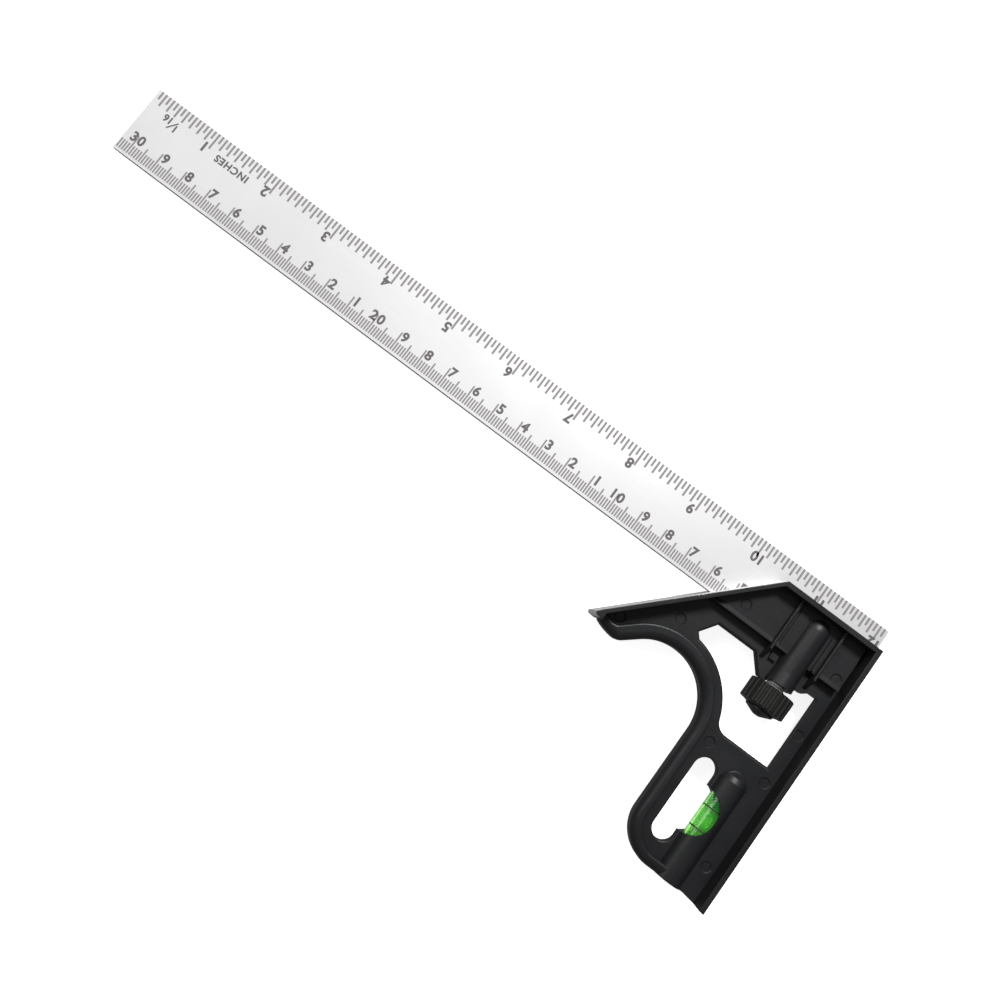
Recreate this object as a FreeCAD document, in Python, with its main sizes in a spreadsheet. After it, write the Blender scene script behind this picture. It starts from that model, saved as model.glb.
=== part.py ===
import FreeCAD, Part
import math
import os
import Sketcher

# A 12 inch combination square, lying flat: the rule along X, the stock's web in the plane XY.
#
# Every sub-part is drawn in one set of tool coordinates, in millimetres. Their origin is just inside
# the corner where the stock's square face meets its top face, by face_growth each way, half way
# through its thickness (z = 0). x is negative into the stock, y is negative down the square face. Each
# body's placement then puts the middle of the whole tool's underside at the document's origin.

SIZES = {
    "cut_margin": 1.0,
    # the rule
    "rule_length": 304.8,
    "rule_width": 25.4,
    "rule_thickness": 2.0,
    "rule_edge_break": 0.15,
    "rule_proud": 1.6,
    "rule_rise": 8.7,
    "rule_groove_width": 3.2,
    "rule_groove_depth": 0.7,
    "rule_side_clearance": 0.05,
    # the stock's envelope
    "stock_length": 101.6,
    "stock_thickness": 18.5,
    "stock_edge_round": 0.25,
    "foot_bevel": 0.22,
    "face_growth": 0.4,
    "miter_start": 38.1,
    "nose_reach": 82.8,
    "nose_drop": 44.7,
    "nose_block": 3.2,
    "nose_round": 1.2,
    "nose_foot": 1.2,
    "foot_run": 6.4,
    "foot_rise": 1.0,
    # the grip's outline; a _back is measured from the square face, a _drop from the top face
    "heel_radius": 13.5,
    "grip_back": 34.35,
    "grip_height": 57.4,
    "grip_radius": 18.45,
    "grip_end_back": 64.66,
    "grip_end_drop": 43.27,
    "beak_radius": 4.5,
    "beak_start_back": 69.4,
    "beak_start_drop": 47.25,
    "beak_flat_radius": 22.0,
    "beak_flat_back": 72.69,
    "beak_flat_drop": 48.29,
    "beak_end_drop": 46.52,
    # the stock's sections
    "lip_width": 1.5,
    "web_thickness": 3.2,
    "rim_width": 3.9,
    "rim_thickness": 9.0,
    "rim_outer_round": 2.8,
    "rim_inner_round": 0.8,
    "rim_arch_radius": 23.15,
    "rim_arch_drop": 56.95,
    "rim_arch_end_back": 69.09,
    "rim_arch_end_drop": 39.75,
    "rim_hook_radius": 3.0,
    "rim_hook_start_back": 73.18,
    "rim_hook_start_drop": 43.43,
    "rim_hook_end_back": 76.47,
    "rim_hook_end_drop": 43.92,
    "rim_tip_back": 78.9,
    "rim_tip_drop": 42.79,
    "cover_depth": 18.6,
    "cover_thickness": 8.2,
    "cover_end": 2.6,
    "bead_width": 1.7,
    "bead_thickness": 9.6,
    "bead_flat": 0.35,
    "left_bead_end": 54.6,
    "right_bead_end": 2.6,
    "rib_width": 1.1,
    "rib_thickness": 12.4,
    "rib_round": 0.45,
    "left_rib": 29.15,
    "right_rib": 11.5,
    "rib_full_depth": 20.4,
    "rib_end_depth": 24.2,
    "small_rib_back": 13.5,
    "small_rib_width": 0.9,
    "small_rib_top": 5.4,
    "small_rib_bottom": 18.2,
    "small_rib_thickness": 10.2,
    "strip_back": 25.7,
    "strip_width": 3.2,
    "strip_top": 4.4,
    "strip_thickness": 9.2,
    "strip_foot_width": 2.6,
    "strip_foot_top": 20.6,
    "strip_foot_bottom": 22.8,
    "strip_foot_thickness": 5.6,
    "small_hole_back": 12.6,
    "small_hole_drop": 19.5,
    "small_hole_radius": 0.75,
    "small_hole_depth": 1.0,
    # the window under the clamp
    "window_round": 0.9,
    "window_top": 23.75,
    "window_bottom": 52.0,
    "window_right": 5.5,
    "window_top_left": 46.2,
    "window_left": 50.2,
    "window_left_drop": 29.6,
    "window_arch_back": 48.6,
    "window_arch_drop": 31.44,
    "window_arch_radius": 26.3,
    "window_arch_end_back": 28.0,
    "window_arch_end_drop": 48.66,
    "window_corner_radius": 5.0,
    "window_corner_back": 23.28,
    "window_top_right": 31.4,
    "window_slant_back": 26.3,
    "window_slant_drop": 29.7,
    "hub_gap": 0.3,
    "web_step_back": 13.2,
    "web_step_drop": 26.0,
    "web_step_end": 11.2,
    "web_rise_back": 9.0,
    "web_rise_drop": 24.3,
    # the slot beside the level
    "slot_middle": 22.75,
    "slot_round": 0.5,
    "slot_radius": 4.05,
    "slot_top": 64.9,
    "slot_bottom": 87.7,
    # the clamp
    "clamp_axis": 19.0,
    "boss_radius": 4.8,
    "boss_flare_radius": 5.1,
    "boss_flare_rise": 4.5,
    "boss_top": 1.6,
    "boss_bottom": 28.3,
    "boss_flank": 1.55,
    "bore_radius": 3.1,
    "bore_top": 1.3,
    "bore_shoulder": 26.2,
    "stem_hole_radius": 2.2,
    "bolt_radius": 3.05,
    "bolt_top": 2.6,
    "bolt_flat_bottom": 17.6,
    "bolt_shoulder": 19.0,
    "bolt_end": 36.5,
    "bolt_chamfer": 0.4,
    "bolt_flat_gap": 0.12,
    "stem_radius": 2.0,
    "hook_top": 4.3,
    "hook_height": 1.25,
    "hook_width": 4.4,
    "hook_rise": 0.67,
    "spring_wire_radius": 0.3,
    "spring_radius": 2.62,
    "spring_pitch": 1.3,
    "spring_end_gap": 0.05,
    "insert_bore": 2.05,
    "insert_radius": 3.0,
    "insert_end": 36.6,
    "hub_top": 28.35,
    "hub_neck": 0.3,
    "hub_top_radius": 2.7,
    "hub_radius": 3.9,
    "hub_flange": 0.4,
    "knob_top": 30.15,
    "knob_bottom": 37.5,
    "knob_radius": 7.95,
    "knob_edge": 0.25,
    "knob_floor": 0.3,
    "knob_cone_radius": 7.0,
    "knob_cone_drop": 0.7,
    "knob_cap_radius": 5.0,
    "knob_cap_step": 0.5,
    "knob_cap_bottom": 40.4,
    "knob_tip_radius": 1.7,
    "knob_tip_curve": 3.4,
    "knob_tip_rise": 0.25,
    "flute_radius": 0.62,
    "flute_offset": 0.15,
    "flute_count": 24,
    # the level
    "level_axis": 12.8,
    "housing_radius": 5.3,
    "housing_top": 60.9,
    "housing_end_radius": 4.5,
    "housing_taper": 1.8,
    "housing_pad_radius": 4.1,
    "housing_pad_middle": 62.8,
    "housing_pad_thickness": 4.6,
    "housing_pad_round": 0.5,
    "housing_bore": 3.8,
    "housing_bore_top": 66.0,
    "sight_height": 76.9,
    "sight_radius": 8.6,
    "sight_edge": 20.4,
    "sight_offset": 0.9,
    "vial_radius": 3.7,
    "vial_top": 66.3,
    "vial_end_round": 0.5,
    "vial_bottom": 89.9,
    "vial_cavity_top": 68.0,
    "vial_cavity_bottom": 87.0,
    "vial_end_bore": 2.75,
    "vial_barrel_radius": 300.0,
    "bubble_radius": 1.3,
    "bubble_length": 5.6,
    "bubble_rise": 1.55,
    "plug_radius": 3.75,
    "plug_top": 90.0,
    "plug_setback": 0.3,
    "plug_recess_radius": 1.6,
    "plug_recess_depth": 4.0,
}

# Where ejector pins left shallow round marks on the stock's front: distance from the square face
# and from the top face, on the cover over the rule and on the web.
PIN_MARK_RADIUS = 2.0
PIN_MARK_DEPTH = 0.35
PIN_MARK_TAPER = -50
COVER_PIN_MARKS = [(43.4, 13.3), (5.2, 15.6)]
WEB_PIN_MARKS = [(4.0, 37.7), (4.3, 56.8), (26.7, 56.7), (4.5, 89.7), (74.3, 41.2), (57.7, 29.8)]

doc = FreeCAD.newDocument("CombinationSquare")
sheet = doc.addObject("Spreadsheet::Sheet", "Sizes")
for row, (alias, size) in enumerate(SIZES.items(), start=1):
    sheet.set(f"A{row}", alias.replace("_", " "))
    sheet.set(f"B{row}", str(size))
    sheet.setAlias(f"B{row}", alias)
doc.recompute()


# A formula is a sum of terms, such as "- stock_length + 0.5*rim_width": cell names and numbers.

def amount_of(term):
    """The number that one term of a formula stands for."""
    product = 1.0
    for factor in term.split("*"):
        product *= sheet.get(factor) if factor[0].isalpha() else float(factor)
    return product


def amount(formula):
    """The number that a whole formula stands for."""
    total = 0.0
    sign = 1
    for word in formula.split():
        if word in "+-":
            sign = -1 if word == "-" else 1
        else:
            total += sign * amount_of(word)
    return total


def cells(formula):
    """The same formula as an expression that reads the sheet's cells."""
    words = []
    for word in formula.split():
        factors = [f"Sizes.{part}" if part[0].isalpha() else part for part in word.split("*")]
        words.append(" * ".join(factors))
    return " ".join(words)


def bind(thing, path, formula):
    """Set a property of an object from the sheet."""
    thing.setExpression(path, cells(formula))


def new_body(label):
    """A body whose placement carries tool coordinates to the document's origin."""
    body = doc.addObject("PartDesign::Body", label)
    body.Label = label
    bind(body, "Placement.Base.x", "0.5*rule_length - rule_proud")
    bind(body, "Placement.Base.y", "0.5*stock_length - 0.5*rule_rise")
    bind(body, "Placement.Base.z", "0.5*stock_thickness")
    return body


def new_sketch(body, name, plane="XY_Plane", offset=("0", "0", "0")):
    """A sketch on one of the body's own origin planes, moved by an offset in that plane's axes."""
    sketch = body.newObject("Sketcher::SketchObject", name)
    support = [feature for feature in body.Origin.OriginFeatures if feature.Role == plane][0]
    sketch.AttachmentSupport = [(support, "")]
    sketch.MapMode = "FlatFace"
    for axis, formula in zip("xyz", offset):
        if formula != "0":
            bind(sketch, f"AttachmentOffset.Base.{axis}", formula)
    return sketch


def dimension(sketch, kind, formula, *where):
    """One driving dimension of a sketch, bound to the sheet."""
    index = sketch.addConstraint(Sketcher.Constraint(kind, *where, amount(formula)))
    bind(sketch, f"Constraints[{index}]", formula)


def fix_point(sketch, geometry, point, x_formula, y_formula):
    """Fix a point's two coordinates; a zero puts it on the sketch's own axis."""
    for kind, formula, axis in (("DistanceX", x_formula, -2), ("DistanceY", y_formula, -1)):
        if amount(formula) == 0:
            sketch.addConstraint(Sketcher.Constraint("PointOnObject", geometry, point, axis))
        else:
            dimension(sketch, kind, formula, geometry, point)


def arc_between(start, end, radius, turn):
    """The short arc from start to end that turns left or right."""
    chord = end - start
    side = FreeCAD.Vector(-chord.y, chord.x, 0).normalize()
    if turn == "right":
        side = -side
    rise = math.sqrt(max(radius ** 2 - (chord.Length / 2) ** 2, 0.0))
    centre = start + chord / 2 + side * rise
    first, last = (start, end) if turn == "left" else (end, start)
    angles = [math.atan2(point.y - centre.y, point.x - centre.x) for point in (first, last)]
    return Part.ArcOfCircle(Part.Circle(centre, FreeCAD.Vector(0, 0, 1), radius), *angles)


def draw_outline(sketch, corners):
    """A closed outline. A corner is (x, y), or (x, y, radius, turn) where an arc leads to it."""
    points = [FreeCAD.Vector(amount(corner[0]), amount(corner[1]), 0) for corner in corners]
    edges = []
    for index, corner in enumerate(corners):
        start, end = points[index - 1], points[index]
        if len(corner) == 2:
            edges.append((sketch.addGeometry(Part.LineSegment(start, end), False), 1, 2))
        else:
            arc = arc_between(start, end, amount(corner[2]), corner[3])
            ends = (1, 2) if corner[3] == "left" else (2, 1)
            edges.append((sketch.addGeometry(arc, False), *ends))
    for index, (geometry, first, last) in enumerate(edges):
        before = edges[index - 1]
        sketch.addConstraint(Sketcher.Constraint("Coincident", before[0], before[2], geometry, first))
    for (geometry, first, last), corner in zip(edges, corners):
        fix_point(sketch, geometry, last, corner[0], corner[1])
    for (geometry, first, last), corner in zip(edges, corners):
        if len(corner) == 4:
            dimension(sketch, "Radius", corner[2], geometry)


def draw_circle(sketch, x_formula, y_formula, radius_formula):
    """A full circle about a point."""
    centre = FreeCAD.Vector(amount(x_formula), amount(y_formula), 0)
    circle = Part.Circle(centre, FreeCAD.Vector(0, 0, 1), amount(radius_formula))
    geometry = sketch.addGeometry(circle, False)
    fix_point(sketch, geometry, 3, x_formula, y_formula)
    dimension(sketch, "Radius", radius_formula, geometry)


def draw_box(sketch, left, right, bottom, top):
    """A rectangle between four formulas."""
    draw_outline(sketch, [(left, bottom), (right, bottom), (right, top), (left, top)])


def pad(body, sketch, length, side_type="Symmetric"):
    """Add material along the sketch's normal."""
    feature = body.newObject("PartDesign::Pad", sketch.Name + "Pad")
    feature.Profile = sketch
    feature.SideType = side_type
    bind(feature, "Length", length)
    return settle(body, feature)


def pocket(body, sketch, length=None, side_type="One side", reverse=False):
    """Cut along the sketch's normal, all the way through when no length is given."""
    feature = body.newObject("PartDesign::Pocket", sketch.Name + "Pocket")
    feature.Profile = sketch
    feature.SideType = side_type
    feature.Reversed = reverse
    if length is None:
        feature.Type = "ThroughAll"
    else:
        bind(feature, "Length", length)
    return settle(body, feature, cuts=True)


def turn(body, sketch, kind="PartDesign::Revolution"):
    """Turn a sketch a full circle about its own vertical axis."""
    feature = body.newObject(kind, sketch.Name + "Turned")
    feature.Profile = sketch
    feature.ReferenceAxis = (sketch, ["V_Axis"])
    feature.Angle = 360
    return settle(body, feature, cuts=kind.endswith("Groove"))


def mirror_through_thickness(body, features, name):
    """Repeat features on the other side of the plane z = 0."""
    feature = body.newObject("PartDesign::Mirrored", name)
    feature.Originals = features
    plane = [item for item in body.Origin.OriginFeatures if item.Role == "XY_Plane"][0]
    feature.MirrorPlane = (plane, [""])
    return settle(body, feature)


def round_edges(body, name, radius, wanted):
    """Fillet the edges of the body so far for which wanted(edge) is true."""
    base = body.Tip
    feature = body.newObject("PartDesign::Fillet", name)
    feature.Base = (base, [f"Edge{number}" for number, edge in enumerate(base.Shape.Edges, start=1)
                           if wanted(edge)])
    feature.Refine = False
    bind(feature, "Radius", radius)
    return settle(body, feature)


def over_lines(sketch, numbers, height):
    """A test for edges that lie over some lines of a flat sketch, at a height on either side."""
    lines = [sketch.Geometry[number].toShape() for number in numbers]
    level = amount(height)

    def wanted(edge):
        middle = edge.valueAt((edge.FirstParameter + edge.LastParameter) / 2)
        on_level = edge.BoundBox.ZLength < 0.01 and abs(abs(middle.z) - level) < 0.01
        spot = Part.Vertex(middle.x, middle.y, 0)
        return on_level and any(spot.distToShape(line)[0] < 0.01 for line in lines)

    return wanted


def settle(body, feature, cuts=False):
    """Make the feature the body's tip, recompute it, and stop if it failed or cut nothing."""
    before = feature.BaseFeature.Shape.Volume if feature.BaseFeature else 0.0
    body.Tip = feature
    doc.recompute()
    if "Invalid" in feature.State or "Error" in feature.State or feature.Shape.isNull():
        raise RuntimeError(f"{feature.Name} failed")
    if cuts and feature.Shape.Volume > before - 0.01:
        raise RuntimeError(f"{feature.Name} cut nothing")
    return feature


# The stock: a die-cast frame with thin flanges on its square, top and miter faces, a thin web, a
# rounded rim along the grip, a thicker cover over the rule, a clamp boss and a level housing.

GRIP_PATH = [
    ("- grip_back", "- stock_length + foot_rise + heel_radius", "heel_radius", "right"),
    ("- grip_back", "- grip_height"),
    ("- grip_end_back", "- grip_end_drop", "grip_radius", "left"),
    ("- beak_start_back", "- beak_start_drop"),
    ("- beak_flat_back", "- beak_flat_drop", "beak_radius", "right"),
    ("- nose_reach + nose_block", "- beak_end_drop", "beak_flat_radius", "right"),
]


NOSE_PATH = [
    ("- nose_reach + nose_block", "- nose_drop - nose_foot"),
    ("- nose_reach + nose_round", "- nose_drop - nose_foot"),
    ("- nose_reach", "- nose_drop", "nose_round", "right"),
]


def add_rim(body):
    """The rounded rim from the nose round the grip to the level housing."""
    rim = new_sketch(body, "Rim")
    inside = "- grip_back + rim_width"
    draw_outline(rim, [
        ("- level_axis", "- stock_length + foot_rise"),
        ("- grip_back + heel_radius", "- stock_length + foot_rise"),
        *GRIP_PATH,
        ("- nose_reach + nose_block", "- rim_tip_drop - 0.5*lip_width"),
        ("- rim_tip_back", "- rim_tip_drop"),
        ("- rim_hook_end_back", "- rim_hook_end_drop"),
        ("- rim_hook_start_back", "- rim_hook_start_drop", "rim_hook_radius", "left"),
        ("- rim_arch_end_back", "- rim_arch_end_drop"),
        (inside, "- rim_arch_drop", "rim_arch_radius", "right"),
        (inside, "- stock_length + foot_rise + heel_radius"),
        ("- grip_back + heel_radius", "- stock_length + foot_rise + rim_width",
         "heel_radius - rim_width", "left"),
        ("- level_axis", "- stock_length + foot_rise + rim_width"),
    ])
    pad(body, rim, "rim_thickness")
    outer, inner = range(1, 8), range(10, 17)
    half = "0.5*rim_thickness"
    round_edges(body, "RimOuterRound", "rim_outer_round", over_lines(rim, outer, half))
    round_edges(body, "RimInnerRound", "rim_inner_round", over_lines(rim, inner, half))


def add_web(body):
    """The thin web that fills the whole outline."""
    web = new_sketch(body, "Web")
    draw_outline(web, [
        ("0", "0"),
        ("0", "- stock_length"),
        ("- foot_run", "- stock_length + foot_rise"),
        ("- grip_back + heel_radius", "- stock_length + foot_rise"),
        *GRIP_PATH,
        *NOSE_PATH,
        ("- miter_start", "0"),
    ])
    pad(body, web, "web_thickness")


def add_openings(body):
    """The window under the clamp and the slot beside the level, with rounded edges."""
    window = new_sketch(body, "Window")
    draw_outline(window, [
        ("- window_top_left", "- window_top"),
        ("- window_top_right", "- window_top"),
        ("- window_slant_back", "- window_slant_drop"),
        ("- clamp_axis - hub_radius - hub_gap", "- window_slant_drop"),
        ("- clamp_axis - hub_radius - hub_gap", "- boss_bottom"),
        ("- clamp_axis + hub_radius + hub_gap", "- boss_bottom"),
        ("- web_step_back", "- web_step_drop"),
        ("- web_step_end", "- web_step_drop"),
        ("- web_rise_back", "- web_rise_drop"),
        ("- window_right", "- web_rise_drop"),
        ("- window_right", "- window_bottom"),
        ("- window_corner_back", "- window_bottom"),
        ("- window_arch_end_back", "- window_arch_end_drop", "window_corner_radius", "right"),
        ("- window_arch_back", "- window_arch_drop", "window_arch_radius", "left"),
        ("- window_left", "- window_left_drop"),
    ])
    pocket(body, window, side_type="Symmetric")
    half = "0.5*web_thickness"
    rounded = (0, 1, 2, 11, 12, 13, 14)
    round_edges(body, "WindowRound", "window_round", over_lines(window, rounded, half))
    slot = new_sketch(body, "Slot")
    draw_outline(slot, [
        ("- slot_middle - slot_radius", "- slot_top"),
        ("- slot_middle", "- slot_top + slot_radius", "slot_radius", "right"),
        ("- slot_middle + slot_radius", "- slot_top", "slot_radius", "right"),
        ("- slot_middle + slot_radius", "- slot_bottom"),
        ("- slot_middle", "- slot_bottom - slot_radius", "slot_radius", "right"),
        ("- slot_middle - slot_radius", "- slot_bottom", "slot_radius", "right"),
    ])
    pocket(body, slot, side_type="Symmetric")
    round_edges(body, "SlotRound", "slot_round", over_lines(slot, range(6), half))


def add_flanges(body):
    """The full-depth flanges on the square, top and miter faces, and the solid nose."""
    flanges = new_sketch(body, "Flanges")
    slant = f"{math.sqrt(2):.4f}*lip_width"
    draw_outline(flanges, [
        ("- lip_width", "- lip_width"),
        (f"- miter_start - lip_width + {slant}", "- lip_width"),
        ("- nose_reach + nose_block", f"- nose_reach + nose_block + miter_start - {slant}"),
        *NOSE_PATH,
        ("- miter_start + face_growth", "face_growth"),
        ("face_growth", "face_growth"),
        ("face_growth", "- stock_length"),
        ("- lip_width", "- stock_length + foot_bevel"),
    ])
    pad(body, flanges, "stock_thickness")
    half = "0.5*stock_thickness"
    round_edges(body, "FlangeRound", "stock_edge_round", over_lines(flanges, range(10), half))


def add_block(body, name, left, right, bottom, top, thickness):
    """A block that stands on both sides of the plane z = 0."""
    block = new_sketch(body, name)
    draw_box(block, left, right, bottom, top)
    pad(body, block, thickness)
    return block


def add_cover(body):
    """The thick cover over the rule, which starts and ends inside the flanges."""
    cover = new_sketch(body, "Cover")
    inset = "0.5*lip_width"
    draw_outline(cover, [
        ("- cover_end", f"- {inset}"),
        ("- cover_end", "- cover_depth"),
        ("- miter_start - cover_depth + lip_width", "- cover_depth"),
        (f"- miter_start + {inset}", f"- {inset}"),
    ])
    pad(body, cover, "cover_thickness")


def add_beads(body):
    """The bead along the cover's lower edge, which rises from it in a slope, beside the boss."""
    spans = (("LeftBead", "- 0.5*left_bead_end - 0.5*left_rib", "left_bead_end - left_rib"),
             ("StripBead", "- 0.5*left_rib - 0.5*strip_back + 0.25*strip_width",
              "left_rib - strip_back + 0.5*strip_width"),
             ("RightBead", "- 0.5*right_rib - 0.5*right_bead_end", "right_rib - right_bead_end"))
    for name, middle, length in spans:
        bead = new_sketch(body, name, "YZ_Plane", ("0", "0", middle))
        draw_outline(bead, [
            ("- cover_depth", "- 0.5*bead_thickness"),
            ("- cover_depth", "0.5*bead_thickness"),
            ("- cover_depth + bead_flat", "0.5*bead_thickness"),
            ("- cover_depth + bead_width", "0.5*cover_thickness"),
            ("- cover_depth + bead_width", "- 0.5*cover_thickness"),
            ("- cover_depth + bead_flat", "- 0.5*bead_thickness"),
        ])
        pad(body, bead, length)


def add_ribs(body):
    """The two full ribs across the cover, tapered down to the web, and the low strips between."""
    top = "0.5*rib_thickness"
    for name, place in (("LeftRib", "left_rib"), ("RightRib", "right_rib")):
        rib = new_sketch(body, name, "YZ_Plane", ("0", "0", f"- {place}"))
        draw_outline(rib, [
            ("- 0.5*lip_width", f"- {top}"),
            ("- 0.5*lip_width", top),
            ("- rib_full_depth", top),
            ("- rib_end_depth", "0.5*web_thickness"),
            ("- rib_end_depth", "- 0.5*web_thickness"),
            ("- rib_full_depth", f"- {top}"),
        ])
        pad(body, rib, "rib_width")
        sides = [amount(f"- {place} {sign} 0.5*rib_width") for sign in "+-"]
        level = amount(top)
        round_edges(body, name + "Round", "rib_round", lambda edge: (
            edge.BoundBox.ZLength < 0.01 and abs(abs(edge.BoundBox.ZMin) - level) < 0.01
            and any(abs(edge.BoundBox.XMin - side) < 0.01 for side in sides)
            and edge.BoundBox.XLength < 0.01))
    add_block(body, "SmallRib", "- small_rib_back - 0.5*small_rib_width",
              "- small_rib_back + 0.5*small_rib_width", "- small_rib_bottom", "- small_rib_top",
              "small_rib_thickness")
    add_block(body, "Strip", "- strip_back - 0.5*strip_width", "- strip_back + 0.5*strip_width",
              "- cover_depth", "- strip_top", "strip_thickness")
    add_block(body, "StripFoot", "- strip_back - 0.5*strip_foot_width",
              "- strip_back + 0.5*strip_foot_width", "- strip_foot_bottom", "- strip_foot_top",
              "strip_foot_thickness")


def add_clamp_boss(body):
    """The round-backed boss that the draw bolt runs through, on both sides of the stock."""
    flank = new_sketch(body, "BossFlank", offset=("- clamp_axis", "0", "0"))
    draw_outline(flank, [
        ("- boss_radius", "- boss_bottom"),
        ("boss_radius", "- boss_bottom"),
        ("boss_radius", "- boss_top - boss_radius"),
        ("0", "- boss_top", "boss_radius", "left"),
        ("- boss_radius", "- boss_top - boss_radius", "boss_radius", "left"),
    ])
    pad(body, flank, "2*boss_flank")
    back = new_sketch(body, "BossBack", offset=("- clamp_axis", "0", "boss_flank"))
    draw_outline(back, [
        ("0", "- boss_top", "boss_radius", "left"),
        ("0", "- boss_bottom"),
        ("boss_flare_radius", "- boss_bottom"),
        ("boss_radius", "- boss_bottom + boss_flare_rise"),
        ("boss_radius", "- boss_top - boss_radius"),
    ])
    front = turn(body, back)
    mirror_through_thickness(body, [front], "BossBackMirrored")


def add_level_housing(body):
    """The round housing that holds the vial, tapered at its upper end, where it meets a low pad."""
    round_pad = new_sketch(body, "HousingPad")
    draw_circle(round_pad, "- level_axis", "- housing_pad_middle", "housing_pad_radius")
    pad(body, round_pad, "housing_pad_thickness")
    round_edges(body, "HousingPadRound", "housing_pad_round",
                over_lines(round_pad, (0,), "0.5*housing_pad_thickness"))
    housing = new_sketch(body, "Housing", offset=("- level_axis", "0", "0"))
    draw_outline(housing, [
        ("0", "- housing_top"),
        ("0", "- stock_length + foot_rise"),
        ("housing_radius", "- stock_length + foot_rise"),
        ("housing_radius", "- housing_top - housing_taper"),
        ("housing_end_radius", "- housing_top"),
    ])
    turn(body, housing)


def cut_rule_slot(body):
    """The slot that the rule slides in, open at the top and at both ends."""
    slot = new_sketch(body, "RuleSlot", "YZ_Plane")
    draw_box(slot, "- rule_width + rule_rise", "cut_margin", "- 0.5*rule_thickness - rule_side_clearance",
             "0.5*rule_thickness + rule_side_clearance")
    pocket(body, slot, side_type="Symmetric")


def cut_clamp_bore(body):
    """The bore for the draw bolt, with a shoulder that the spring stands on."""
    bore = new_sketch(body, "ClampBore", offset=("- clamp_axis", "0", "0"))
    draw_outline(bore, [
        ("0", "- bore_top"),
        ("0", "- boss_bottom - cut_margin"),
        ("stem_hole_radius", "- boss_bottom - cut_margin"),
        ("stem_hole_radius", "- bore_shoulder"),
        ("bore_radius", "- bore_shoulder"),
        ("bore_radius", "- bore_top"),
    ])
    turn(body, bore, "PartDesign::Groove")


def cut_level_openings(body):
    """The vial's bore, open at the foot, and the round sight opening in the housing's side."""
    bore = new_sketch(body, "LevelBore", offset=("- level_axis", "0", "0"))
    draw_box(bore, "0", "housing_bore", "- stock_length", "- housing_bore_top")
    turn(body, bore, "PartDesign::Groove")
    sight = new_sketch(body, "Sight")
    half_chord = math.sqrt(amount("sight_radius") ** 2 - amount("sight_offset") ** 2)
    draw_outline(sight, [
        ("- sight_edge", f"- sight_height + {half_chord:.3f}", "sight_radius", "left"),
        ("- sight_edge", f"- sight_height - {half_chord:.3f}"),
        ("- sight_edge + sight_offset + sight_radius", "- sight_height", "sight_radius", "left"),
    ])
    pocket(body, sight, side_type="Symmetric")


def cut_pin_marks(body):
    """Shallow round marks, and the small blind hole between the clamp boss and the right rib."""
    for name, places, level in (("CoverMarks", COVER_PIN_MARKS, "0.5*cover_thickness"),
                                ("WebMarks", WEB_PIN_MARKS, "0.5*web_thickness")):
        marks = new_sketch(body, name, offset=("0", "0", level))
        for from_face, from_top in places:
            draw_circle(marks, f"- {from_face}", f"- {from_top}", str(PIN_MARK_RADIUS))
        dished = pocket(body, marks, str(PIN_MARK_DEPTH))
        dished.TaperAngle = PIN_MARK_TAPER
        settle(body, dished, cuts=True)
    hole = new_sketch(body, "SmallHole", offset=("0", "0", "0.5*web_thickness"))
    draw_circle(hole, "- small_hole_back", "- small_hole_drop", "small_hole_radius")
    pocket(body, hole, "small_hole_depth")


def make_stock():
    body = new_body("stock")
    add_rim(body)
    add_web(body)
    add_openings(body)
    add_flanges(body)
    add_cover(body)
    add_beads(body)
    add_ribs(body)
    add_clamp_boss(body)
    add_level_housing(body)
    cut_rule_slot(body)
    cut_clamp_bore(body)
    cut_level_openings(body)
    cut_pin_marks(body)
    return body


def make_rule():
    """The graduated rule, with the clamp groove along the middle of its back."""
    body = new_body("rule")
    strip = new_sketch(body, "Strip")
    draw_box(strip, "rule_proud - rule_length", "rule_proud", "rule_rise - rule_width", "rule_rise")
    pad(body, strip, "rule_thickness")
    round_edges(body, "EdgeBreak", "rule_edge_break", lambda edge: True)
    groove = new_sketch(body, "Groove", offset=("0", "0", "- 0.5*rule_thickness"))
    draw_box(groove, "rule_proud - rule_length - cut_margin", "rule_proud + cut_margin",
             "rule_rise - 0.5*rule_width - 0.5*rule_groove_width",
             "rule_rise - 0.5*rule_width + 0.5*rule_groove_width")
    pocket(body, groove, "rule_groove_depth", reverse=True)
    return body


def make_draw_bolt():
    """The bolt: its flat upper half lies behind the rule and hooks into the groove."""
    body = new_body("draw_bolt")
    shank = new_sketch(body, "Shank", offset=("- clamp_axis", "0", "0"))
    draw_outline(shank, [
        ("0", "- bolt_top"),
        ("0", "- bolt_end"),
        ("stem_radius - bolt_chamfer", "- bolt_end"),
        ("stem_radius", "- bolt_end + bolt_chamfer"),
        ("stem_radius", "- bolt_shoulder"),
        ("bolt_radius", "- bolt_shoulder"),
        ("bolt_radius", "- bolt_top"),
    ])
    turn(body, shank)
    level = "- 0.5*rule_thickness - bolt_flat_gap"
    flat = new_sketch(body, "Flat", offset=("- clamp_axis", "0", level))
    draw_box(flat, "- bolt_radius - cut_margin", "bolt_radius + cut_margin", "- bolt_flat_bottom",
             "- bolt_top + cut_margin")
    pocket(body, flat, "2*bolt_radius + cut_margin", reverse=True)
    hook = new_sketch(body, "Hook", offset=("- clamp_axis", "0", level))
    draw_box(hook, "- 0.5*hook_width", "0.5*hook_width", "- hook_top - hook_height", "- hook_top")
    pad(body, hook, "hook_rise", side_type="One side")
    return body


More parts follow.
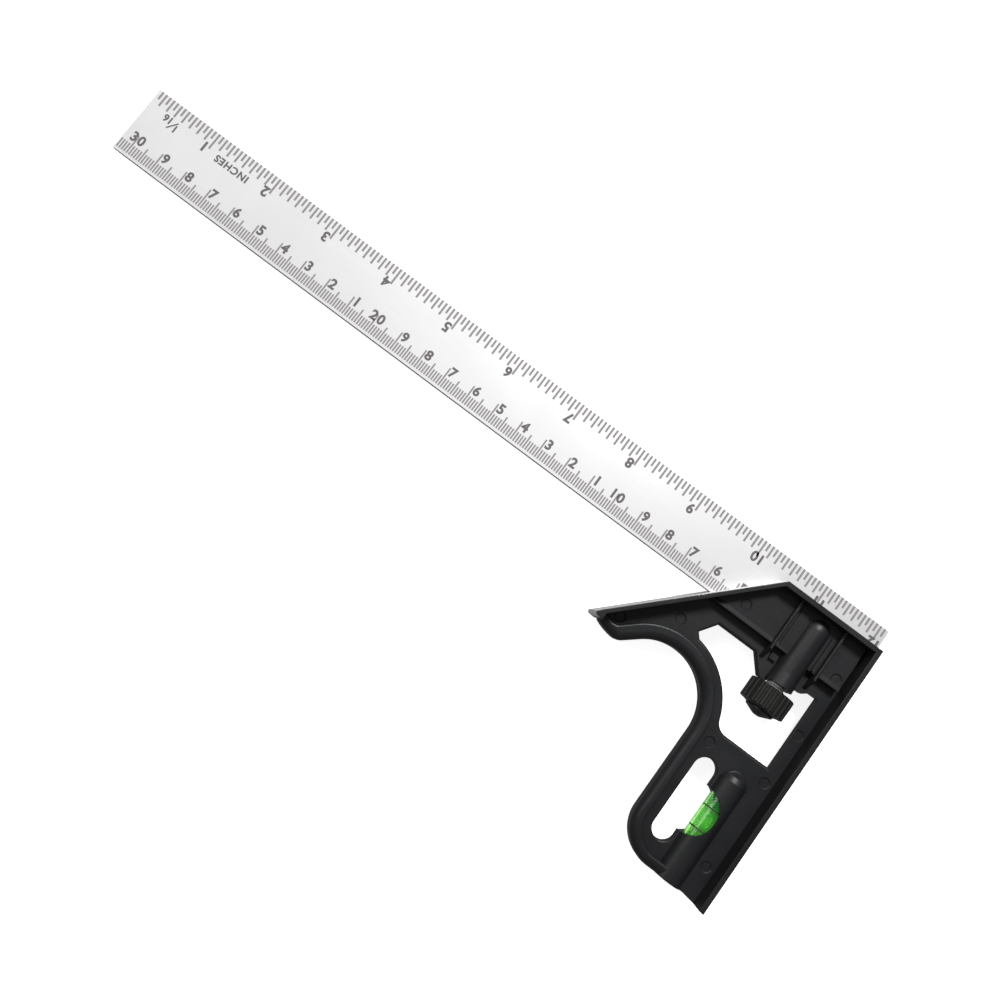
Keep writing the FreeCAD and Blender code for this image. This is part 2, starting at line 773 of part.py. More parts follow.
def make_clamp_spring():
    """The coil spring between the bolt's shoulder and the shoulder in the stock's bore."""
    wire_gap = amount("spring_wire_radius + spring_end_gap")
    top = amount("- bolt_shoulder") - wire_gap
    bottom = amount("- bore_shoulder") + wire_gap
    origin = FreeCAD.Vector(amount("0.5*rule_length - rule_proud - clamp_axis"),
                            amount("0.5*stock_length - 0.5*rule_rise"), amount("0.5*stock_thickness"))
    upright = FreeCAD.Rotation(FreeCAD.Vector(1, 0, 0), -90)
    helix = doc.addObject("Part::Helix", "SpringPath")
    bind(helix, "Radius", "spring_radius")
    bind(helix, "Pitch", "spring_pitch")
    bind(helix, "Height", "bore_shoulder - bolt_shoulder - 2*spring_wire_radius - 2*spring_end_gap")
    helix.Placement = FreeCAD.Placement(origin + FreeCAD.Vector(0, bottom, 0), upright)
    wire = doc.addObject("Part::Circle", "SpringWire")
    bind(wire, "Radius", "spring_wire_radius")
    start = origin + FreeCAD.Vector(amount("spring_radius"), bottom, 0)
    wire.Placement = FreeCAD.Placement(start, FreeCAD.Rotation())
    doc.recompute()
    spring = doc.addObject("Part::Sweep", "clamp_spring")
    spring.Label = "clamp_spring"
    spring.Sections = [wire]
    spring.Spine = (helix, [f"Edge{number + 1}" for number in range(len(helix.Shape.Edges))])
    spring.Solid = True
    spring.Frenet = True
    return spring


def make_knob_insert():
    """The threaded metal bush in the knob, whose conical hub bears on the boss."""
    body = new_body("knob_insert")
    section = new_sketch(body, "Section", offset=("- clamp_axis", "0", "0"))
    draw_outline(section, [
        ("insert_bore", "- hub_top"),
        ("insert_bore", "- insert_end"),
        ("insert_radius", "- insert_end"),
        ("insert_radius", "- knob_top"),
        ("hub_radius", "- knob_top"),
        ("hub_radius", "- knob_top + hub_flange"),
        ("hub_top_radius", "- hub_top - hub_neck"),
        ("hub_top_radius", "- hub_top"),
    ])
    turn(body, section)
    return body


def make_clamp_knob():
    """The fluted clamping knob, closed below by a low cone over the bolt's end."""
    body = new_body("clamp_knob")
    section = new_sketch(body, "Section", offset=("- clamp_axis", "0", "0"))
    draw_outline(section, [
        ("insert_radius", "- knob_top"),
        ("insert_radius", "- insert_end - knob_floor"),
        ("0", "- insert_end - knob_floor"),
        ("0", "- knob_cap_bottom"),
        ("knob_tip_radius", "- knob_cap_bottom + knob_tip_rise", "knob_tip_curve", "left"),
        ("knob_cap_radius", "- knob_bottom - knob_cone_drop - knob_cap_step"),
        ("knob_cap_radius", "- knob_bottom - knob_cone_drop"),
        ("knob_cone_radius", "- knob_bottom"),
        ("knob_radius - knob_edge", "- knob_bottom"),
        ("knob_radius", "- knob_bottom + knob_edge"),
        ("knob_radius", "- knob_top - knob_edge"),
        ("knob_radius - knob_edge", "- knob_top"),
    ])
    turn(body, section)
    flute = new_sketch(body, "Flute", "XZ_Plane", ("- clamp_axis", "0", "knob_top"))
    draw_circle(flute, "knob_radius + flute_offset", "0", "flute_radius")
    cut = pocket(body, flute, side_type="Symmetric")
    pattern = body.newObject("PartDesign::PolarPattern", "Flutes")
    pattern.Originals = [cut]
    pattern.Axis = (flute, ["N_Axis"])
    pattern.Angle = 360
    bind(pattern, "Occurrences", "flute_count")
    settle(body, pattern)
    return body


def barrel_side(top, bottom):
    """The two corners of a slightly barrelled bore, from its lower end to its upper end."""
    return [("vial_end_bore", f"- {bottom}"),
            ("vial_end_bore", f"- {top}", "vial_barrel_radius", "left")]


def make_vial_tube():
    """The clear barrel vial, closed at its upper end."""
    body = new_body("vial_tube")
    section = new_sketch(body, "Section", offset=("- level_axis", "0", "0"))
    draw_outline(section, [
        ("0", "- vial_cavity_top"),
        ("0", "- vial_top"),
        ("vial_radius - vial_end_round", "- vial_top"),
        ("vial_radius", "- vial_top - vial_end_round", "vial_end_round", "right"),
        ("vial_radius", "- vial_bottom"),
        ("vial_end_bore", "- vial_bottom"),
        *barrel_side("vial_cavity_top", "vial_cavity_bottom"),
    ])
    turn(body, section)
    return body


def make_vial_liquid():
    """The liquid that fills the vial, with the bubble left out of it."""
    body = new_body("vial_liquid")
    section = new_sketch(body, "Section", offset=("- level_axis", "0", "0"))
    draw_outline(section, [
        ("0", "- vial_cavity_top"),
        ("0", "- vial_cavity_bottom"),
        *barrel_side("vial_cavity_top", "vial_cavity_bottom"),
    ])
    turn(body, section)
    bubble = new_sketch(body, "Bubble", offset=("- level_axis", "0", "bubble_rise"))
    middle = "0.5*vial_cavity_top - 0.5*vial_cavity_bottom"
    draw_outline(bubble, [
        ("0", f"- {middle} + 0.5*bubble_length"),
        ("0", f"- {middle} - 0.5*bubble_length"),
        ("bubble_radius", f"- {middle} - 0.5*bubble_length + bubble_radius", "bubble_radius", "left"),
        ("bubble_radius", f"- {middle} + 0.5*bubble_length - bubble_radius"),
    ])
    turn(body, bubble, "PartDesign::Groove")
    return body


def make_vial_stopper():
    """The stopper that closes the vial's lower end."""
    body = new_body("vial_stopper")
    section = new_sketch(body, "Section", offset=("- level_axis", "0", "0"))
    draw_box(section, "0", "vial_end_bore", "- vial_bottom", "- vial_cavity_bottom")
    turn(body, section)
    return body


def make_housing_plug():
    """The plug that closes the level housing at the foot, with a blind recess in its end."""
    body = new_body("housing_plug")
    section = new_sketch(body, "Section", offset=("- level_axis", "0", "0"))
    draw_outline(section, [
        ("0", "- plug_top"),
        ("0", "- stock_length + foot_rise + plug_recess_depth"),
        ("plug_recess_radius", "- stock_length + foot_rise + plug_recess_depth"),
        ("plug_recess_radius", "- stock_length + foot_rise + plug_setback"),
        ("plug_radius", "- stock_length + foot_rise + plug_setback"),
        ("plug_radius", "- plug_top"),
    ])
    turn(body, section)
    return body


SUB_PARTS = [
    make_stock(),
    make_rule(),
    make_draw_bolt(),
    make_clamp_spring(),
    make_knob_insert(),
    make_clamp_knob(),
    make_vial_tube(),
    make_vial_liquid(),
    make_vial_stopper(),
    make_housing_plug(),
]
doc.recompute()

failed = [item.Name for item in doc.Objects if "Invalid" in item.State or "Error" in item.State]
if failed:
    raise RuntimeError(f"failed objects: {failed}")
for sub_part in SUB_PARTS:
    if sub_part.Shape.isNull() or not sub_part.Shape.isValid() or len(sub_part.Shape.Solids) != 1:
        raise RuntimeError(f"{sub_part.Label} has no single valid solid")

os.makedirs("parts", exist_ok=True)
for sub_part in SUB_PARTS:
    sub_part.Shape.exportStep(f"parts/{sub_part.Label}.step")
    box = sub_part.Shape.BoundBox
    print(f"{sub_part.Label}: {sub_part.Shape.Volume:.1f} mm3, "
          f"x {box.XMin:.2f} to {box.XMax:.2f}, y {box.YMin:.2f} to {box.YMax:.2f}, "
          f"z {box.ZMin:.2f} to {box.ZMax:.2f}")
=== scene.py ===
import math

import bmesh
import bpy
from mathutils import Matrix, Vector


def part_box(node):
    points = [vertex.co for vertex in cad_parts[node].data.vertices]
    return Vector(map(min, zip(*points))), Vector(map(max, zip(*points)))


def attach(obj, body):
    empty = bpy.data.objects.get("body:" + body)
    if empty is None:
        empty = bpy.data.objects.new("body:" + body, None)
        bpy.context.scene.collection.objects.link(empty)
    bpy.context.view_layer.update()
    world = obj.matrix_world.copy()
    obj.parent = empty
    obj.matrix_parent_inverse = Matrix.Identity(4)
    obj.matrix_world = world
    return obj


# A combination square on a pale floor. Lengths are millimetres times MM; the tool lies on z = 0, the
# rule runs along X and the tool's front faces up. "Down" is a distance below an edge, towards -Y.

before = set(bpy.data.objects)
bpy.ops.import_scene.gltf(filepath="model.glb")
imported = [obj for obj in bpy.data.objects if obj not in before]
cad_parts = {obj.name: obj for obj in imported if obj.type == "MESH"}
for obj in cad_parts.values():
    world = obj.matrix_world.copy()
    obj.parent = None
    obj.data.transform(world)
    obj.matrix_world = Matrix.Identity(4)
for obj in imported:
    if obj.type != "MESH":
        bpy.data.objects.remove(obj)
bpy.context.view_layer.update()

MM = 0.001
INCH = 25.4 * MM

RULE_LOW, RULE_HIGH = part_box("rule")
STOCK_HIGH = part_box("stock")[1]
VIAL_LOW, VIAL_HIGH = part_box("vial_tube")

# In plan, just inside the corner where the stock's square face meets its top face: the point that
# the miter face, its nose and the level are measured from.
FACE_GROWTH = 0.4 * MM
CORNER = Vector((STOCK_HIGH.x - FACE_GROWTH, STOCK_HIGH.y - FACE_GROWTH, 0))
MITER_START = 38.1 * MM
NOSE = CORNER + Vector((-82.4, -45.2, 0)) * MM

# The marks and figures on the rule: thin solids let into its faces. Places down are from its top edge.
MARK_PROUD = 0.012 * MM
MARK_SUNK = 0.03 * MM
INCHES_ON_RULE = 12
PARTS_OF_INCH = 16
INCH_TICK_START = 0.16 * MM
INCH_TICK_END = 6.4 * MM
EIGHTH_TICK_END = 4.9 * MM
SIXTEENTH_TICK_END = 3.2 * MM
INCH_TICK_WIDTH = 0.72 * MM
INCH_FIGURE_HEIGHT = 3.8 * MM
INCH_FIGURE_DOWN = 6.7 * MM
MILLIMETRES_ON_RULE = 304
CENTIMETRE_TICK_START = 17.2 * MM
HALF_CENTIMETRE_TICK_START = 19.0 * MM
MILLIMETRE_TICK_START = 20.8 * MM
METRIC_TICK_END = 24.3 * MM
METRIC_TICK_WIDTH = 0.56 * MM
CENTIMETRE_FIGURE_HEIGHT = 3.7 * MM
CENTIMETRE_FIGURE_DOWN = 18.1 * MM
CENTIMETRE_FIGURE_SPACING = 1.2
LETTER_WEIGHT = 0.04

# The black rings round the vial, by their places down from the corner, and their section.
RINGS_DOWN = {"upper_ring": 73.6 * MM, "lower_ring": 81.45 * MM}
RING_SUNK = 0.02 * MM
RING_PROUD = 0.03 * MM
RING_HALF_FOOT = 0.2 * MM
RING_HALF_CREST = 0.17 * MM
RING_STEPS = 72

# Points of a mesh nearer than this, in metres, are one point.
SAME_POINT = 1e-7

# The camera, and how far it is turned about its own line of sight.
CAMERA_PLACE = Vector((24.7, -19.65, 327.55)) * MM
CAMERA_AIM = Vector((22.1, 12.5, 9.25)) * MM
CAMERA_TURN = math.radians(36.6)
CAMERA_LENS = 34.7


# Materials

class Graph:
    """A material's node tree, with short calls for the nodes used here."""

    def __init__(self, name):
        self.material = bpy.data.materials.new(name)
        self.material.use_nodes = True
        self.tree = self.material.node_tree
        self.tree.nodes.clear()
        self.output = self.tree.nodes.new("ShaderNodeOutputMaterial")
        self.shader = self.tree.nodes.new("ShaderNodeBsdfPrincipled")
        self.tree.links.new(self.shader.outputs[0], self.output.inputs["Surface"])
        self.coordinates = self.tree.nodes.new("ShaderNodeTexCoord")
        self.place = self.coordinates.outputs["Object"]
        self.normal = self.coordinates.outputs["Normal"]

    def feed(self, socket, value):
        """Set a socket from a plain value or from another node's output."""
        if isinstance(value, bpy.types.NodeSocket):
            self.tree.links.new(value, socket)
        elif socket.type == "RGBA" and len(value) == 3:
            socket.default_value = (*value, 1.0)
        else:
            socket.default_value = value

    def set(self, **sockets):
        """Set the shader's sockets; an underscore stands for a space in a socket's name."""
        for name, value in sockets.items():
            self.feed(self.shader.inputs[name.replace("_", " ")], value)

    def math(self, operation, first, second):
        node = self.tree.nodes.new("ShaderNodeMath")
        node.operation = operation
        self.feed(node.inputs[0], first)
        self.feed(node.inputs[1], second)
        return node.outputs[0]

    def vector(self, operation, first, second):
        node = self.tree.nodes.new("ShaderNodeVectorMath")
        node.operation = operation
        self.feed(node.inputs[0], first)
        self.feed(node.inputs[1], second)
        return node.outputs["Value" if operation in ("DOT_PRODUCT", "DISTANCE") else "Vector"]

    def noise(self, size, detail=2.0, roughness=0.5, stretch=(1, 1, 1)):
        """Noise with features of about that size in metres, drawn out along an axis by stretch."""
        spread = self.vector("MULTIPLY", self.place, tuple(1 / (size * factor) for factor in stretch))
        node = self.tree.nodes.new("ShaderNodeTexNoise")
        self.feed(node.inputs["Vector"], spread)
        self.feed(node.inputs["Scale"], 1.0)
        self.feed(node.inputs["Detail"], detail)
        self.feed(node.inputs["Roughness"], roughness)
        return node.outputs[0]

    def steps(self, value, low, high, start=0.0, end=1.0):
        """Bring a value from one range to another, smoothly and clamped."""
        node = self.tree.nodes.new("ShaderNodeMapRange")
        node.interpolation_type = "SMOOTHSTEP"
        for socket, number in zip(node.inputs, (value, low, high, start, end)):
            self.feed(socket, number)
        return node.outputs[0]

    def mix(self, share, first, second):
        """A colour between two colours."""
        node = self.tree.nodes.new("ShaderNodeMix")
        node.data_type = "RGBA"
        self.feed(node.inputs["Factor"], share)
        self.feed(node.inputs[6], first)
        self.feed(node.inputs[7], second)
        return node.outputs[2]

    def blend(self, share, first, second):
        """A number between two numbers."""
        node = self.tree.nodes.new("ShaderNodeMix")
        self.feed(node.inputs["Factor"], share)
        self.feed(node.inputs[2], first)
        self.feed(node.inputs[3], second)
        return node.outputs[0]

    def bump(self, height, depth):
        """Raise the surface by a height between 0 and 1, times a depth in metres."""
        node = self.tree.nodes.new("ShaderNodeBump")
        self.feed(node.inputs["Strength"], 1.0)
        self.feed(node.inputs["Distance"], depth)
        self.feed(node.inputs["Height"], height)
        self.feed(self.shader.inputs["Normal"], node.outputs[0])


def bare_metal_mask(graph):
    """One on the machined square and miter faces, on the nose's end and on fine chips beside them."""
    slant = math.sqrt(0.5)
    square_face = ((1, 0, 0), STOCK_HIGH.x)
    miter_face = ((-slant, slant, 0), slant * (CORNER.y - CORNER.x + MITER_START))
    chip_noise = graph.noise(0.7 * MM, detail=3, roughness=0.6)
    mask = 0.0
    for direction, level in (square_face, miter_face):
        depth = graph.math("SUBTRACT", level, graph.vector("DOT_PRODUCT", graph.place, direction))
        facing = graph.vector("DOT_PRODUCT", graph.normal, direction)
        shallow = graph.steps(depth, 0.16 * MM, 0.08 * MM)
        ground = graph.math("MULTIPLY", graph.steps(facing, 0.95, 0.98), shallow)
        near = graph.steps(depth, 0.5 * MM, 0.0, 0.0, 0.22)
        chipped = graph.steps(graph.math("ADD", chip_noise, near), 0.84, 0.88)
        mask = graph.math("MAXIMUM", mask, graph.math("MAXIMUM", ground, chipped))
    from_nose = graph.vector("DISTANCE", graph.vector("MULTIPLY", graph.place, (1, 1, 0)), tuple(NOSE))
    worn = graph.math("ADD", from_nose, graph.math("MULTIPLY", chip_noise, 0.8 * MM))
    upright = graph.steps(graph.vector("DOT_PRODUCT", graph.normal, (0, 0, 1)), 0.8, 0.5)
    nose_end = graph.math("MULTIPLY", upright, graph.steps(worn, 2.4 * MM, 1.8 * MM))
    return graph.math("MAXIMUM", mask, nose_end)


def stock_paint():
    """Satin black paint on a die casting, bare where it was ground.

    The bare metal is only half metallic, so that it stays bright in dim surroundings.
    """
    graph = Graph("stock_paint")
    patches = graph.noise(14 * MM, detail=3)
    grain = graph.noise(0.5 * MM, detail=3, roughness=0.6)
    bare = bare_metal_mask(graph)
    lines = graph.noise(0.25 * MM, stretch=(1, 1, 40))
    paint = graph.mix(patches, (0.0065, 0.0068, 0.0076), (0.012, 0.0123, 0.0135))
    metal = graph.mix(lines, (0.62, 0.62, 0.63), (0.80, 0.80, 0.81))
    paint_roughness = graph.steps(graph.math("ADD", patches, grain), 0.7, 1.3, 0.36, 0.46)
    graph.set(Base_Color=graph.mix(bare, paint, metal), Metallic=graph.math("MULTIPLY", bare, 0.5),
              Roughness=graph.blend(bare, paint_roughness, 0.45), Specular_IOR_Level=0.28)
    graph.bump(graph.math("ADD", grain, graph.math("MULTIPLY", patches, 2.0)), 0.035 * MM)
    return graph.material


def brushed_rule():
    """Satin chrome, finely brushed along the rule, with painted shade darkening its lower edge.

    It is less than fully metallic, so that it stays bright in dim surroundings.
    """
    graph = Graph("rule_satin")
    lines = graph.noise(0.12 * MM, detail=3, stretch=(160, 1, 1))
    smudges = graph.noise(22 * MM, detail=2)
    satin = graph.mix(lines, (0.455, 0.455, 0.46), (0.55, 0.55, 0.555))
    # Painted shade: faces that look down, towards -Y, get a dark base colour.
    lower_edge_shade = graph.steps(graph.vector("DOT_PRODUCT", graph.normal, (0, -1, 0)), 0.5, 0.9)
    graph.set(Base_Color=graph.mix(lower_edge_shade, satin, (0.16, 0.16, 0.17)), Metallic=0.7,
              Roughness=graph.steps(graph.math("ADD", lines, smudges), 0.7, 1.3, 0.50, 0.60))
    graph.bump(lines, 0.004 * MM)
    return graph.material


def turned_steel(name, dark, light, roughness, metallic=1.0):
    """Plain or plated steel with fine turning lines across its axis, which runs along Y."""
    graph = Graph(name)
    lines = graph.noise(0.1 * MM, detail=2, stretch=(60, 1, 60))
    spots = graph.noise(1.6 * MM, detail=3)
    graph.set(Base_Color=graph.mix(graph.math("MULTIPLY", lines, spots), dark, light), Metallic=metallic,
              Roughness=graph.steps(spots, 0.3, 0.7, roughness, roughness + 0.12))
    graph.bump(lines, 0.004 * MM)
    return graph.material


def knob_paint():
    """Satin black on the clamp knob, a little lighter in patches."""
    graph = Graph("knob_paint")
    patches = graph.noise(3 * MM, detail=3)
    grain = graph.noise(0.35 * MM, detail=3)
    graph.set(Base_Color=graph.mix(patches, (0.005, 0.005, 0.005), (0.011, 0.011, 0.0095)),
              Roughness=graph.steps(grain, 0.3, 0.7, 0.36, 0.5), Specular_IOR_Level=0.25)
    graph.bump(grain, 0.03 * MM)
    return graph.material


def tinted_acrylic():
    """The vial's barrel: see-through, tinted with the green of what it holds, faintly streaked along it."""
    graph = Graph("vial_acrylic")
    streaks = graph.noise(0.6 * MM, stretch=(1, 14, 1))
    graph.set(Base_Color=graph.mix(streaks, (0.44, 0.80, 0.36), (0.60, 0.90, 0.42)),
              Roughness=graph.steps(streaks, 0.3, 0.7, 0.08, 0.16), Transmission_Weight=1.0, IOR=1.49)
    graph.bump(streaks, 0.004 * MM)
    return graph.material


def green_liquid():
    """The level's fluorescent green liquid, with a faint painted glow and painted shade that darkens it
    towards its top.
    """
    graph = Graph("level_liquid")
    depth = graph.noise(5 * MM, detail=2)
    along = graph.vector("DOT_PRODUCT", graph.place, (0, 1, 0))
    # Painted shade: the liquid turns a darker green towards +Y.
    above = graph.steps(along, CORNER.y - 77 * MM, CORNER.y - 71 * MM)
    green = graph.mix(depth, (0.10, 0.55, 0.17), (0.34, 0.72, 0.17))
    shaded = graph.mix(above, green, (0.02, 0.34, 0.09))
    # The emission is a painted glow that stands in for light shining through the liquid.
    graph.set(Base_Color=shaded, Roughness=0.03, Transmission_Weight=0.35, IOR=1.37,
              Emission_Color=shaded, Emission_Strength=0.25)
    return graph.material


def matte_black(name, size):
    """Black plastic, rubber or ink with a fine grain."""
    graph = Graph(name)
    grain = graph.noise(size, detail=3)
    graph.set(Base_Color=graph.mix(grain, (0.008, 0.008, 0.008), (0.02, 0.02, 0.02)),
              Roughness=graph.steps(grain, 0.3, 0.7, 0.5, 0.65))
    graph.bump(grain, 0.02 * MM)
    return graph.material


def scale_ink(name, dark, light):
    """The dark ink of the rule's marks and figures, a little uneven."""
    graph = Graph(name)
    fill = graph.noise(0.35 * MM, detail=3, roughness=0.6)
    graph.set(Base_Color=graph.mix(fill, dark, light),
              Roughness=graph.steps(fill, 0.3, 0.7, 0.55, 0.75))
    graph.bump(fill, 0.006 * MM)
    return graph.material


def dress(obj, material):
    """Give every material slot of an object the same material."""
    if not obj.material_slots:
        obj.data.materials.append(material)
    for slot in obj.material_slots:
        slot.material = material


# Pieces

def add_piece(name, mesh, body, material):
    """A new piece that rides on a CAD body."""
    obj = bpy.data.objects.new(name, mesh)
    bpy.context.scene.collection.objects.link(obj)
    dress(obj, material)
    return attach(obj, body)


def add_bar(shape, centre, size, turn=0.0):
    """A closed box in a bmesh, by its centre, its size and its turn about Z."""
    place = Matrix.Translation(centre) @ Matrix.Rotation(turn, 4, "Z") @ Matrix.Diagonal((*size, 1.0))
    bmesh.ops.create_cube(shape, size=1.0, matrix=place)


def finished(shape, name):
    """The mesh of a bmesh, with its normals outwards."""
    bmesh.ops.recalc_face_normals(shape, faces=shape.faces)
    mesh = bpy.data.meshes.new(name)
    shape.to_mesh(mesh)
    shape.free()
    return mesh


def text_outline(words, spacing):
    """A flat-backed mesh of some words, one unit thick, in the font's own units."""
    curve = bpy.data.curves.new("words", "FONT")
    curve.body = words
    curve.extrude = 0.5
    curve.offset = LETTER_WEIGHT
    curve.space_character = spacing
    curve.resolution_u = 5
    holder = bpy.data.objects.new("words", curve)
    bpy.context.scene.collection.objects.link(holder)
    depsgraph = bpy.context.evaluated_depsgraph_get()
    mesh = bpy.data.meshes.new_from_object(holder.evaluated_get(depsgraph))
    bpy.data.objects.remove(holder)
    bpy.data.curves.remove(curve)
    return mesh


def add_words(shape, words, height, place, turned, spacing=1.0):
    """Words of a height, with their middle at a place on the rule, upside down if turned."""
    mesh = text_outline(words, spacing)
    points = [vertex.co for vertex in mesh.vertices]
    low = Vector(min(point[axis] for point in points) for axis in range(3))
    high = Vector(max(point[axis] for point in points) for axis in range(3))
    scale = height / (high.y - low.y)
    thickness = (MARK_PROUD + MARK_SUNK) / (high.z - low.z)
    fit = (Matrix.Translation(place) @ Matrix.Rotation(math.pi if turned else 0.0, 4, "Z")
           @ Matrix.Diagonal((scale, scale, thickness, 1.0)) @ Matrix.Translation(-(low + high) / 2))
    mesh.transform(fit)
    words_shape = bmesh.new()
    words_shape.from_mesh(mesh)
    bmesh.ops.remove_doubles(words_shape, verts=words_shape.verts, dist=SAME_POINT)
    words_shape.to_mesh(mesh)
    words_shape.free()
    shape.from_mesh(mesh)
    bpy.data.meshes.remove(mesh)


def flip_to_back(mesh):
    """Turn marks made for the rule's front over about its long axis, onto its back."""
    middle = (RULE_LOW + RULE_HIGH) / 2
    half_turn = Matrix.Rotation(math.pi, 4, "X")
    mesh.transform(Matrix.Translation(middle) @ half_turn @ Matrix.Translation(-middle))


def scale_place(x, down):
    """The middle of a mark's thickness on the rule's front, by its x and its distance down."""
    return Vector((x, RULE_HIGH.y - down, RULE_HIGH.z + (MARK_PROUD - MARK_SUNK) / 2))


def add_tick(shape, x, start, end, width):
    """A mark across the rule at an x, from start to end down from its top edge."""
    add_bar(shape, scale_place(x, (start + end) / 2), (width, end - start, MARK_PROUD + MARK_SUNK))


def inch_marks():
    """Sixteenths of an inch along the top edge, from the rule's left end."""
    shape = bmesh.new()
    for part in range(1, INCHES_ON_RULE * PARTS_OF_INCH):
        if part % PARTS_OF_INCH == 0:
            end = INCH_TICK_END
        elif part % 2 == 0:
            end = EIGHTH_TICK_END
        else:
            end = SIXTEENTH_TICK_END
        x = RULE_LOW.x + part * INCH / PARTS_OF_INCH
        add_tick(shape, x, INCH_TICK_START, end, INCH_TICK_WIDTH)
    return finished(shape, "inch_marks")


def millimetre_marks():
    """Millimetres along the lower edge, from the rule's right end."""
    shape = bmesh.new()
    for millimetre in range(1, MILLIMETRES_ON_RULE + 1):
        if millimetre % 10 == 0:
            start = CENTIMETRE_TICK_START
        elif millimetre % 5 == 0:
            start = HALF_CENTIMETRE_TICK_START
        else:
            start = MILLIMETRE_TICK_START
        add_tick(shape, RULE_HIGH.x - millimetre * MM, start, METRIC_TICK_END, METRIC_TICK_WIDTH)
    return finished(shape, "millimetre_marks")


def inch_figures():
    """The inch scale's figures, which stand on their heads, its unit and its division."""
    shape = bmesh.new()
    beside_tick = -1.7 * MM
    across_tick = 0.3 * MM
    clear_of_end = -2.9 * MM
    for inch in range(1, INCHES_ON_RULE + 1):
        shift = {10: across_tick, 11: across_tick, 12: clear_of_end}.get(inch, beside_tick)
        place = scale_place(RULE_LOW.x + inch * INCH + shift, INCH_FIGURE_DOWN)
        add_words(shape, str(inch), INCH_FIGURE_HEIGHT, place, turned=True)
    unit = scale_place(RULE_LOW.x + 35.6 * MM, 7.4 * MM)
    one = scale_place(RULE_LOW.x + 12.4 * MM, 8.1 * MM)
    sixteen = scale_place(RULE_LOW.x + 8.3 * MM, 6.7 * MM)
    stroke = scale_place(RULE_LOW.x + 11.0 * MM, 7.6 * MM)
    add_words(shape, "INCHES", 2.75 * MM, unit, turned=True, spacing=1.15)
    add_words(shape, "1", 2.7 * MM, one, turned=True)
    add_words(shape, "16", 2.8 * MM, sixteen, turned=True)
    add_bar(shape, stroke, (0.5 * MM, 4.4 * MM, MARK_PROUD + MARK_SUNK), turn=math.radians(-36))
    return finished(shape, "inch_figures")


def centimetre_figures():
    """The metric scale's figures: whole tens are written in full, the rest by their last digit."""
    shape = bmesh.new()
    beside_tick = 1.7
    across_tick = 0.3
    for centimetre in range(1, MILLIMETRES_ON_RULE // 10 + 1):
        if centimetre % 10 == 0:
            words, shift = str(centimetre), across_tick
        else:
            words, shift = str(centimetre % 10), beside_tick
        place = scale_place(RULE_HIGH.x - (centimetre * 10 - shift) * MM, CENTIMETRE_FIGURE_DOWN)
        add_words(shape, words, CENTIMETRE_FIGURE_HEIGHT, place, turned=False,
                  spacing=CENTIMETRE_FIGURE_SPACING)
    return finished(shape, "centimetre_figures")


def add_scales():
    """Both scales, on the rule's front and on its back."""
    mark_ink = scale_ink("mark_ink", (0.13, 0.12, 0.125), (0.24, 0.22, 0.225))
    figure_ink = scale_ink("figure_ink", (0.06, 0.052, 0.055), (0.12, 0.105, 0.11))
    for side in ("front", "back"):
        for make, ink in ((inch_marks, mark_ink), (millimetre_marks, mark_ink),
                          (inch_figures, figure_ink), (centimetre_figures, figure_ink)):
            mesh = make()
            if side == "back":
                flip_to_back(mesh)
            add_piece(f"{make.__name__}_{side}", mesh, "rule_body", ink)


def add_vial_rings():
    """Two black rings round the vial, which the bubble stands between when it is level."""
    ink = matte_black("ring_ink", 0.3 * MM)
    centre = (VIAL_LOW + VIAL_HIGH) / 2
    radius = (VIAL_HIGH.x - VIAL_LOW.x) / 2
    inner = radius - RING_SUNK
    outer = radius + RING_PROUD
    section = ((inner, -RING_HALF_FOOT), (outer, -RING_HALF_CREST),
               (outer, RING_HALF_CREST), (inner, RING_HALF_FOOT))
    for name, down in RINGS_DOWN.items():
        y = CORNER.y - down
        shape = bmesh.new()
        loop = [shape.verts.new((centre.x + out, y + up, centre.z)) for out, up in section]
        edges = [shape.edges.new((loop[index - 1], loop[index])) for index in range(len(loop))]
        bmesh.ops.spin(shape, geom=loop + edges, cent=(centre.x, y, centre.z), axis=(0, 1, 0),
                       angle=math.tau, steps=RING_STEPS)
        bmesh.ops.remove_doubles(shape, verts=shape.verts, dist=SAME_POINT)
        add_piece(name, finished(shape, name), "stock_body", ink)


# The scene

def add_floor():
    """A pale matte floor just under the tool, kept white by its own glow.

    Diffuse and glossy rays pass it by, to keep that glow off the tool.
    """
    bpy.ops.mesh.primitive_plane_add(size=4.0, location=(0, 0, -0.02 * MM))
    floor = bpy.context.object
    floor.name = "floor"
    graph = Graph("floor_paper")
    paper = graph.noise(1.5 * MM, detail=3)
    graph.set(Base_Color=graph.mix(paper, (0.90, 0.90, 0.90), (0.93, 0.93, 0.93)), Roughness=0.9,
              Specular_IOR_Level=0.1, Emission_Color=(1.0, 1.0, 1.0), Emission_Strength=0.85)
    dress(floor, graph.material)
    floor.visible_diffuse = False
    floor.visible_glossy = False


def add_light(name, place, aim, size, power):
    """A soft rectangular light that points at a spot."""
    lamp = bpy.data.lights.new(name, "AREA")
    lamp.shape = "RECTANGLE"
    lamp.size, lamp.size_y = size
    lamp.energy = power
    holder = bpy.data.objects.new(name, lamp)
    holder.location = place
    holder.rotation_euler = (Vector(aim) - Vector(place)).to_track_quat("-Z", "Y").to_euler()
    bpy.context.scene.collection.objects.link(holder)


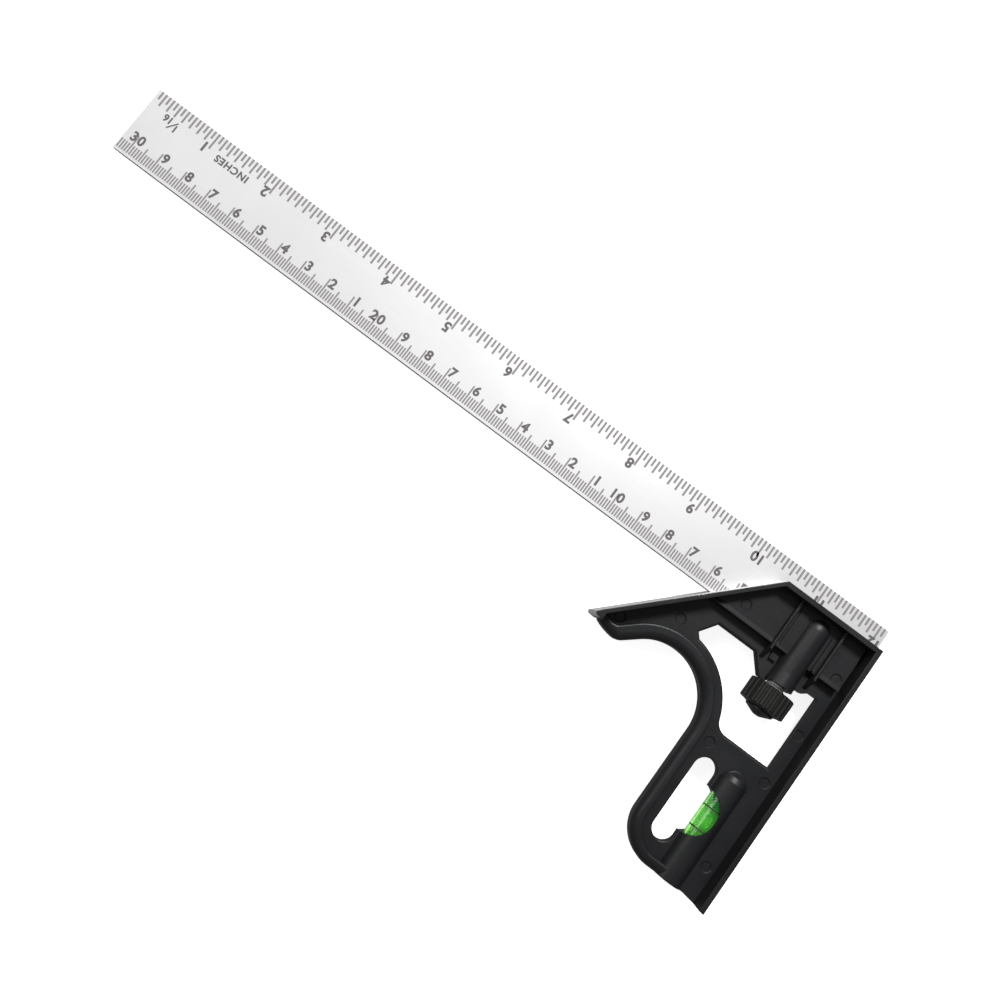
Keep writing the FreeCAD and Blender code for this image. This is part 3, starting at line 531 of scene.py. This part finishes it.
def add_studio():
    """Dim white surroundings, a key light high beyond the rule's top edge, and a soft one for its face."""
    world = bpy.data.worlds.new("studio")
    world.use_nodes = True
    background = world.node_tree.nodes["Background"]
    background.inputs["Color"].default_value = (1.0, 1.0, 1.0, 1.0)
    background.inputs["Strength"].default_value = 0.24
    bpy.context.scene.world = world
    add_light("key", place=(0.05, 0.62, 0.74), aim=(0.05, 0.0, 0.0), size=(0.22, 0.22), power=12.0)
    add_light("rule_sheen", place=(-0.62, 0.15, 0.72), aim=(-0.15, 0.03, 0.0), size=(0.6, 0.5), power=2.8)


def add_camera():
    """A camera almost straight above the tool, turned so that the rule runs down to the right."""
    lens = bpy.data.cameras.new("camera")
    lens.lens = CAMERA_LENS
    camera = bpy.data.objects.new("camera", lens)
    ahead = (CAMERA_AIM - CAMERA_PLACE).normalized()
    up = Vector((-math.sin(CAMERA_TURN), math.cos(CAMERA_TURN), 0))
    right = ahead.cross(up).normalized()
    up = right.cross(ahead)
    camera.matrix_world = Matrix.Translation(CAMERA_PLACE) @ Matrix((right, up, -ahead)).transposed().to_4x4()
    bpy.context.scene.collection.objects.link(camera)
    bpy.context.scene.camera = camera


CAD_MATERIALS = {
    "stock": stock_paint(),
    "rule": brushed_rule(),
    "draw_bolt": turned_steel("bolt_zinc", (0.45, 0.45, 0.44), (0.7, 0.7, 0.69), 0.3),
    "clamp_spring": turned_steel("spring_steel", (0.3, 0.3, 0.3), (0.55, 0.55, 0.54), 0.28),
    # The insert's near-white, mostly diffuse colour is a painted highlight: it keeps the hub bright where the
    # boss shades it from the key light.
    "knob_insert": turned_steel("insert_zinc", (0.88, 0.88, 0.87), (0.97, 0.97, 0.96), 0.42, 0.3),
    "clamp_knob": knob_paint(),
    "vial_tube": tinted_acrylic(),
    "vial_liquid": green_liquid(),
    "vial_stopper": matte_black("stopper_rubber", 0.4 * MM),
    "housing_plug": matte_black("plug_plastic", 0.5 * MM),
}

add_camera()
add_studio()
add_floor()
for node, material in CAD_MATERIALS.items():
    dress(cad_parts[node], material)
add_scales()
add_vial_rings()

bpy.context.scene.view_settings.view_transform = "Standard"
